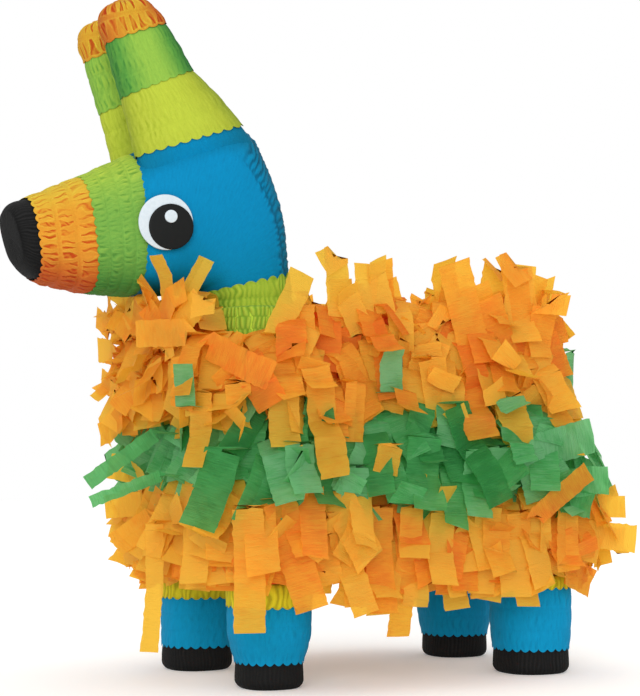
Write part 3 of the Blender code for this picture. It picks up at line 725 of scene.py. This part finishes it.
def corner_distance(x, y):
    """Distance outside the body's rounded outline, and the way out."""
    dx = x - MIDDLE_X
    qx, qy = np.abs(dx) - STRAIGHT_X, np.abs(y) - STRAIGHT_Y
    px, py = np.maximum(qx, 0), np.maximum(qy, 0)
    reach = np.hypot(px, py)
    inside = np.maximum(qx, qy) <= 0
    nx = np.where(inside, qx > qy, px / np.maximum(reach, 1e-9))
    ny = np.where(inside, qx <= qy, py / np.maximum(reach, 1e-9))
    distance = np.where(inside, np.maximum(qx, qy), reach) - CORNER
    return distance, nx * np.sign(dx), ny * np.sign(y)


def body_outline(count, offset=0.0, shift=0.0):
    """Points evenly spaced round the body's outline, with the heading out of the card."""
    ax, ay, arc = STRAIGHT_X, STRAIGHT_Y, math.pi / 2 * CORNER
    sides = ((2 * ay, (ax, -ay), 0), (2 * ax, (ax, ay), 90), (2 * ay, (-ax, ay), 180),
             (2 * ax, (-ax, -ay), 270))
    places = []
    for i in range(count):
        s = ((i + shift) / count % 1.0) * 4 * (ax + ay + arc)
        for straight, (x, y), heading in sides:
            if s > straight + arc:
                s -= straight + arc
                continue
            way = math.radians(heading)
            x, y = x - math.sin(way) * min(s, straight), y + math.cos(way) * min(s, straight)
            way += max(0, s - straight) / CORNER
            x, y = (x + math.cos(way) * (CORNER + offset),
                    y + math.sin(way) * (CORNER + offset))
            places.append((x + MIDDLE_X, y, math.degrees(way)))
            break
    return places


def strips_mesh(name, strips, slot, replaced, seed, lighter=0.0):
    """Joins strips into one piece: three points across each line, torn a little at the edges."""
    rng = np.random.default_rng(seed)
    points, faces, tones, papers = [], [], [], []
    for number, strip in enumerate(strips):
        tip = strip.lines[-1][0]
        # painted light: orange strips whose tips hang out in one layer are painted lighter,
        # standing in for light through them
        painted_lit_through = tip.x < THIN_AHEAD or tip.x > THIN_BEHIND or tip.z > THIN_ABOVE
        tone = rng.uniform() + lighter + PAINTED_THROUGH_LIGHT * (painted_lit_through and slot == "orange_fringe")
        cup = rng.normal(0, CUPPED)
        base = len(points)
        for at, along, across, run, slant in strip.lines:
            face = along.cross(across)
            for k in (-1, 0, 1):
                x = k * strip.width / 2
                if k:
                    x += rng.normal(0, TORN)
                points.append(at + across * x + along * (x * slant) + face * (cup * (k * k - 0.5)))
                tones.append(tone)
                papers.append((x, run, number * 3.7 + seed))
        for i in range(len(strip.lines) - 1):
            for k in range(2):
                a = base + i * 3 + k
                faces.append((a, a + 1, a + 4, a + 3))
    grid = np.array(points)
    low = grid[:, 2] < BACK_Z + 1
    distance, nx, ny = corner_distance(grid[:, 0], grid[:, 1])
    push = np.where(low & (grid[:, 2] > CARD_FROM), np.maximum(0, OFF_CARD - distance), 0)
    grid[:, 0] += nx * push
    grid[:, 1] += ny * push
    for axis, reach in ((0, X_REACH), (1, Y_REACH)):
        excess = np.maximum(np.abs(grid[:, axis]) - reach, 0)
        kept = SOFT_EDGE * np.tanh(excess / SOFT_EDGE)
        grid[:, axis] -= np.sign(grid[:, axis]) * (excess - kept)
    piece = new_piece(name, grid * MM, faces, STRIPS[slot], slot, replaced, tone=tones,
                      paper=papers)
    piece.data.set_sharp_from_angle(angle=math.radians(CREASE))


def reach_at(heading, shares):
    """The stand-out for a heading, between those of the chest, the sides and the rump."""
    chest, side, rump = shares
    turn = abs((heading + 180) % 360 - 180)
    return float(np.interp(turn, (0, 62, 90, 115, 155, 180),
                           (rump, rump, side, side, chest, chest)))


def hanging_strip(rng, root, heading, reach, hang, pitch, wild):
    """A strip of a side row: it springs out of the row's root line, folds over and hangs."""

    def off(spread):
        return rng.normal(0, spread)

    ahead = max(0.0, -math.cos(math.radians(heading)))  # 1 on the chest
    hug = min(1, 0.2 + reach / 22)
    wild *= hug
    pitch -= 50 * (1 - hug)
    swing = np.clip((245 - heading) * rng.uniform(0, 0.8), -10, 45) * ahead  # to the near side
    root = (*root[:2], root[2] + rng.uniform(-4, 4))
    strip = Strip(root, heading + swing + off(16 * wild), pitch + off(13 * wild),
                  off((15 + 9 * ahead) * wild), rng.uniform(*STRIP_WIDTHS))
    spring = max(4, reach * rng.uniform(0.75, 1.2))
    droop = pitch + 84 + off(8 * wild)
    folds = rng.integers(2, 4)
    for _ in range(folds):
        strip.go(spring / folds, droop * 0.3 / folds, off(5))
        strip.fold(droop * 0.7 / folds, off(10 * wild))
    left = hang * rng.uniform(0.75, 1.3)
    # straight, bent once, folded back up, or crumpled
    kind = rng.uniform() * min(1, 0.35 + 0.65 * wild)
    slant = off(12)
    if kind < 0.42:
        strip.go(left, off(7), off(8))
    elif kind < 0.7:
        strip.go(left * 0.55, off(5))
        strip.fold(rng.choice([-1, 1]) * rng.uniform(20, 50) * hug, slant)
        strip.go(left * 0.45, off(5))
    elif kind < 0.88:
        strip.go(left * 0.62, off(5))
        strip.fold(-rng.uniform(120, 165), slant * 2)
        strip.go(left * 0.3 + 3, off(5))
    else:
        for k in range(3):
            strip.go(left * 0.28, 0)
            strip.fold((1 if k % 2 else -1) * rng.uniform(35, 70) * hug, off(8))
        strip.go(left * 0.2 + 2, 0)
    return strip.end(off(8))


def bare(x, y, z):
    """Whether a root is where the wrap of the neck runs down in view."""
    return x < BARE_AHEAD and y < BARE_SIDE and z > BARE_ABOVE


def over_leg(x, y):
    return any(abs(x - leg_x) < LEG_REACH and abs(y) > LEG_SIDE for _, leg_x, *_ in LEGS)


def side_row(name, lighter, top, bottom, lines, seed):
    """One CAD row of fringe, from its root lines and its stand-out at the top and bottom."""
    node, slot = "fringe_" + name, name.split("_")[0] + "_fringe"
    rng = np.random.default_rng(seed)
    strips = []
    for z, count, share, hang, pitch, wild in lines:
        for x, y, heading in body_outline(count, CLEAR, rng.uniform()):
            if bare(x, y, z):
                continue
            reach = (1 - share) * reach_at(heading, top) + share * reach_at(heading, bottom)
            length = min(hang, 2 + 0.75 * (z - LEG_HANG_Z)) if over_leg(x, y) else hang
            if z > 180 and abs((heading + 180) % 360 - 180) < 60:  # high on the rump
                length *= 0.75
            for layer in CHEST_LAYERS if abs(heading - 180) < 55 else (1,):
                strips.append(hanging_strip(rng, (x, y, z), heading, reach * layer, length,
                                            pitch, wild))
    strips += HERO_STRIPS[name]
    if name == "orange_upper_1":
        strips += chest_ruff()
    strips_mesh(node + "_paper", strips, slot, [node], seed, lighter)


def placed(x, y, heading, z, out, way, width, *moves, face=0):
    """One given strip: it leaves the card for out, then turns in the plane that faces
    outward (or face degrees round from that), way degrees clockwise from straight up. A move
    is a length, or (fold, slant)."""
    strip = Strip((x, y, z), heading, 4, 0, width)
    strip.go(out)
    strip.fold(-80).turn(math.radians(face), UP)
    strip.lean(way)
    for move in moves:
        if isinstance(move, tuple):
            strip.fold(*move)
        else:
            strip.go(move, 4)
    return strip


def near(x, z, way, width, *moves, out=11):
    return placed(x, -HALF_WIDTH - CLEAR, -90, z, out, way, width, *moves)


def chest(y, z, way, width, *moves, out=32, heading=180, face=0):
    return placed(CHEST_X - CLEAR, y, heading, z, out, way, width, *moves, face=face)


def corner(z, way, width, *moves, out=30, heading=-135, centre=CHEST_X + CORNER):
    turn, reach = math.radians(heading), CORNER + CLEAR
    x, y = centre + reach * math.cos(turn), CORNER - HALF_WIDTH + reach * math.sin(turn)
    return placed(x, y, heading, z, out, way, width, *moves)


def rump(y, z, way, width, *moves, out=8, heading=-20):
    return placed(RUMP_X + CLEAR, y, heading, z, out, way, width, *moves)


def rear(z, way, width, *moves, out=18, heading=-75):
    return corner(z, way, width, *moves, out=out, heading=heading, centre=RUMP_X - CORNER)


def chest_ruff():
    """The short strips that stand up along the top of the chest."""
    rng = np.random.default_rng(77)
    return [chest(y, rng.uniform(207, 216), rng.uniform(-50, 50), rng.uniform(14, 18),
                  rng.uniform(9, 15),
                  (rng.choice([-1, 1]) * rng.uniform(30, 150), rng.normal(0, 20)),
                  rng.uniform(6, 11), out=rng.uniform(20, 38), heading=rng.uniform(182, 218))
            for y in np.linspace(-46, 64, 20)]


# strips set one by one, by row
HERO_STRIPS = {"orange_upper_1": [
    near(-54, 206, 24, 16, 26, (-25, 10), 14), near(-13, 217, -8, 15, 36, (150, -35), 14),
    near(1, 214, 4, 15, 26, (-30, 12), 10), near(18, 220, -22, 13, 22, (28, 20), 15),
    near(2, 207, -30, 16, 24, (35, 8), 10), near(80, 190, -20, 22, 66, out=14),
    near(96, 196, -24, 18, 48), near(116, 212, -14, 22, 42, (140, -40), 16),
    near(108, 214, 3, 20, 40), near(121, 189, 8, 18, 42, (120, 40), 14),
    near(109, 178, -24, 17, 60), near(40, 214, 150, 16, 30),
    near(62, 218, 195, 17, 26, (-35, 10), 12),
    chest(-42, 211, 2, 13, 28, (20, 5), 14, out=31, heading=-165),
    chest(-42, 208, 22, 14, 24, (-30, 8), 22, out=25, heading=-158),
    chest(-45, 207, 54, 16, 30, (148, 32), 12, heading=-155),
    corner(205, -88, 16, 36, (20, 8), 6, heading=-160),
    corner(198, 116, 17, 30, (-40, 20), 16, out=27, heading=-148),
    chest(39, 214, -35, 15, 20, (-40, 20), 8), chest(10, 216, -20, 15, 14, (40, 10), 10),
    chest(-20, 218, 12, 16, 18, (50, -20), 8), chest(52, 214, -62, 15, 24),
    chest(46, 200, -82, 16, 26), chest(-40, 212, 60, 17, 26, (-40, 15), 12),
    chest(36, 212, -38, 16, 24, (-35, 14), 12, out=22),
    chest(46, 207, -15, 18, 20, (25, 10), 6, out=22),
    chest(60, 206, -28, 18, 18, (-30, 10), 7, out=14),
    chest(30, 207, 8, 18, 18, (40, -12), 7, out=28),
], "orange_upper_2": [
    corner(172, 182, 16, 26, (20, 12), 20, heading=-150),
    corner(177, 176, 15, 12, (70, 30), 10, (-90, -20), 12, (60, 10), 8, out=29, heading=-128),
    corner(178, 178, 18, 30, (25, 4), 10, out=27, heading=-102),
    near(-34, 178, 176, 18, 24, (45, 6), 14, (-60, -8), 12, (55, 4), 16, out=28),
    near(-11, 178, 181, 13, 36, out=28), near(42, 194, 168, 18, 42, out=22),
    near(34, 190, 140, 16, 20, (40, 10), 12), near(74, 186, 206, 17, 30, (-150, 20), 14),
    near(98, 190, 185, 17, 34, (30, 8), 12), near(118, 184, 215, 16, 30),
    chest(27, 160, -112, 16, 26, (30, 10), 8), chest(40, 176, -70, 15, 24),
    chest(0, 182, -140, 17, 30, (-45, 10), 12),
], "green_1": [
    corner(162, 2, 16, 24, out=35, heading=-156), rear(203, 178, 15, 27, out=12, heading=-55),
    rump(-34, 172, 8, 16, 28, (40, 12), 6),
    near(55, 166, 158, 17, 26, (40, 8), 24, (-45, -6), 20, out=28),
    near(14, 172, -6, 15, 18, (30, 10), 8, out=24),
], "green_2": [
    near(33, 147, 184, 22, 24, (38, 0), 26, out=30),
    near(69, 138, 187, 17, 22, (34, 6), 22, out=31),
    near(84, 141, 180, 19, 28, (110, 0), 12, out=30), near(105, 138, 164, 20, 32, out=30),
    near(-13, 129, 180, 17, 54, out=31), near(-48, 142, 178, 18, 14, (40, 4), 20, out=30),
    corner(138, 196, 22, 22, (20, 0), 26, out=32, heading=-135), near(112, 137, 75, 22, 40, out=29),
    near(124, 116, 82, 18, 28, (40, 10), 9, out=29), near(124, 110, 103, 16, 28, out=28),
    chest(-32, 148, -126, 9, 24, (24, 14), 14, (-30, 10), 14, out=30, face=62),
    chest(-42, 123, -110, 7, 22, (20, 12), 24, out=30, face=62),
], "orange_lower_1": [
    near(106, 97, 52, 13, 46, out=34), near(9, 141, 192, 16, 18, out=33),
    chest(20, 106, -95, 15, 20, (30, 20), 6, out=19, face=50),
    chest(0, 98, -125, 15, 24, (-30, 10), 8, out=20, face=55),
    near(-52, 124, 172, 17, 30, (36, 6), 20, out=28),
    chest(20, 118, -70, 16, 26, (70, 20), 12, out=20), chest(-16, 112, -130, 17, 30, out=22),
], "orange_lower_2": [
    corner(106, 178, 18, 38, (14, 4), 34, heading=-122),
    corner(110, 163, 19, 34, (14, 8), 32, out=28, heading=-105),
    near(-24, 102, 166, 15, 28, (40, 20), 16, (-50, -10), 20, out=28),
    near(25, 106, 181, 15, 30, (-16, 0), 50, out=29),
    near(4, 106, 180, 18, 28, (12, 0), 35, out=28),
    near(47, 102, 186, 17, 24, (30, 10), 22, out=28), near(78, 106, 184, 18, 54, out=28),
    near(99, 102, 176, 16, 46, out=28), rear(89, 95, 17, 36, (25, -12), 20, heading=-86),
    rear(98, 80, 14, 34, (40, 10), 14, heading=-84), rear(82, 86, 13, 40, (30, 20), 8, heading=-80),
    rear(93, 62, 8, 46, out=20, heading=-80), rear(84, 104, 16, 34, heading=-88),
], "orange_lower_3": [
    chest(-24, 96, 181, 11, 40, (10, 0), 38, out=29, face=50), near(84, 92, 180, 16, 36, out=24),
    near(104, 90, 176, 15, 34, out=24), near(6, 90, 178, 16, 48, out=22),
    rear(66, 113, 18, 27, out=15),
], "back_rim": [
    placed(70, -74, -90, 223.6, 4, -18, 18, 26, (30, 12), 10),
    placed(96, -74, -90, 223.6, 4, 6, 18, 30, (120, -30), 12),
    placed(126, -70, -90, 223.6, 4, 14, 17, 28), placed(30, -74, -90, 223.6, 4, -20, 14, 20),
]}
SIDE_ROWS = (  # row, how much lighter, stand-out (chest, side, rump) at the top and the bottom,
    # root lines: z, count, share of the way to the bottom, hanging length, pitch, wildness
    ("orange_upper_1", 0, (24, 12, 2), (32, 20, 4),
     ((222, 60, 0.2, 20, 62, 1.1), (213, 60, 0.5, 24, 32, 1.1), (203, 60, 0.9, 26, 22, 1.0))),
    ("orange_upper_2", 0, (27, 20, 4), (28, 25, 9),
     ((192, 60, 0.3, 28, 20, 1.0), (182, 60, 0.8, 29, 14, 1.0))),
    ("green_1", 0, (12, 22, 12), (10, 26, 18),
     ((168, 58, 0.3, 26, 25, 1.1), (158, 58, 0.8, 30, 15, 1.0))),
    ("green_2", 0, (9, 25, 18), (11, 29, 28),
     ((147, 58, 0.3, 30, 15, 0.9), (137, 58, 0.8, 32, 10, 0.9))),
    ("orange_lower_1", 0.12, (20, 26, 20), (18, 29, 28),
     ((124, 58, 0.3, 38, 12, 0.8), (114, 58, 0.8, 36, 8, 0.8))),
    ("orange_lower_2", 0.15, (13, 27, 24), (8, 29, 31),
     ((104, 58, 0.3, 29, 6, 0.7), (95, 58, 0.8, 25, 2, 0.7))),
    ("orange_lower_3", 0.18, (8, 25, 22), (6, 27, 24),
     ((87, 56, 0.3, 20, 0, 0.7), (80, 56, 0.7, 15, -8, 0.6))),
)


def make_side_rows():
    for number, row in enumerate(SIDE_ROWS):
        side_row(*row, 200 + number)


TUFTS = ((-10, 24), (22, 24), (34, 9), (52, 9), (64, 25), (150, 24))  # mm along, mm high


def standing_strip(rng, x, y, heading):
    """A strip of the back: it stands up and leans, and its tip may be folded over."""
    strip = Strip((x, y, BACK_Z + 0.8), heading + rng.normal(0, 25), rng.uniform(60, 100),
                  rng.normal(0, 16), rng.uniform(13, 18.5))
    total = np.interp(x - 0.46 * (y + HALF_WIDTH), *zip(*TUFTS)) * rng.uniform(0.7, 1.25)
    strip.go(total * 0.65, rng.normal(5, 12), rng.normal(0, 12))
    if rng.uniform() < 0.6:
        strip.fold(rng.choice([-1, 1]) * rng.uniform(40, 150), rng.normal(0, 24))
    strip.go(total * 0.35, rng.normal(0, 8))
    return strip.end(rng.normal(0, 14))


def make_back_rows():
    rng = np.random.default_rng(411)
    rim, inner = [], []
    for x, y, heading in body_outline(66, -4):
        if x > -4:
            rim.append(standing_strip(rng, x, y, heading))
    for x, y, heading in body_outline(56, -24):
        if x > 4:
            inner.append(standing_strip(rng, x, y, heading + 180))
    rim += HERO_STRIPS["back_rim"]
    # short strips folded down over the rim, all round but on the near side
    rng = np.random.default_rng(412)
    for x, y, heading in body_outline(60, 0.6):
        if x > 4 and y > -60:
            strip = Strip((x, y, BACK_Z + 1.2), heading + rng.normal(0, 12), 25, 0,
                          rng.uniform(13, 18))
            rim.append(strip.go(3).fold(rng.uniform(75, 100), rng.normal(0, 10))
                       .go(rng.uniform(11, 19), 8).end(rng.normal(0, 12)))
    strips_mesh("back_rim_paper", rim, "orange_fringe", ["fringe_back_rim"], 301)
    strips_mesh("back_inner_paper", inner, "orange_fringe", ["fringe_back_inner"], 302)


# ---- carried-over parts
CARRIED = {
    "card": ("side_wall_left", "side_wall_right", "back_board", "belly_board", "fill_door",
             "hanger_disc"),
    "cover": ("back_cover",), "side_cover": ("side_cover",), "tape": ("hanger_strap",),
    "tab_paper": ("door_pull_tab",), "steel": ("hanging_ring",),
}


def dress_carried():
    for finish, names in CARRIED.items():
        for name in names:
            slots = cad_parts[name].data.materials
            for index in range(len(slots)):
                slots[index] = PLAIN[finish]


# ---- studio
ROOM_LIGHT = 0.82
FLOOR = 6  # m, half the floor's side
MIDDLE = (0, 0, 0.2)  # m, what the lights point at


def aim(thing, target):
    thing.rotation_euler = (Vector(target) - thing.location).to_track_quat("-Z", "Y").to_euler()


def make_studio():
    world = bpy.data.worlds.new("studio")
    bpy.context.scene.world = world
    world.use_nodes = True
    nodes, links = world.node_tree.nodes, world.node_tree.links
    back = nodes["Background"]
    back.inputs["Color"].default_value = (1, 1, 1, 1)
    seen = nodes.new("ShaderNodeLightPath").outputs["Is Camera Ray"]
    level = nodes.new("ShaderNodeMapRange")
    level.inputs["To Min"].default_value = ROOM_LIGHT
    links.new(seen, level.inputs["Value"])
    links.new(level.outputs[0], back.inputs["Strength"])
    r = Recipe("floor")
    tone = r.ramp(r.noise(r.place, 3, 2), (0.3, colour("f8f8f7")), (0.7, colour("fafaf9")))
    pale = r.add("BsdfPrincipled", {"Base Color": tone, "Roughness": 0.9,
                                    "Specular IOR Level": 0.0, "Emission Color": tone,
                                    "Emission Strength": 0.2})
    floor = bpy.data.meshes.new("floor")
    corners = [(-FLOOR, -FLOOR, 0), (FLOOR, -FLOOR, 0), (FLOOR, FLOOR, 0), (-FLOOR, FLOOR, 0)]
    floor.from_pydata(corners, [], [(0, 1, 2, 3)])
    floor.materials.append(r.finish(pale.outputs[0]))
    put("floor", floor)
    sun = bpy.data.lights.new("front", "SUN")
    sun.energy, sun.angle = 1.93, math.radians(40)
    aim(put("front", sun, (-0.95, -1.6, 0.6)), MIDDLE)
    top = bpy.data.lights.new("top", "AREA")
    top.energy, top.size = 5, 1.6
    aim(put("top", top, (0.1, 0.1, 1.9)), MIDDLE)


CAMERA_PLACE, CAMERA_TARGET = (-0.4565, -0.9821, 0.1271), (0.0173, 0, 0.2062)


def make_camera():
    data = bpy.data.cameras.new("camera")
    data.lens = 87.93
    data.sensor_width = 36
    data.clip_start, data.clip_end = 0.05, 30
    camera = put("camera", data, CAMERA_PLACE)
    aim(camera, CAMERA_TARGET)
    bpy.context.scene.camera = camera


bpy.context.scene.view_settings.view_transform = "Standard"
make_head()
make_neck_skirt()
make_ears()
make_legs()
make_eyes()
make_side_rows()
make_back_rows()
dress_carried()
make_studio()
make_camera()
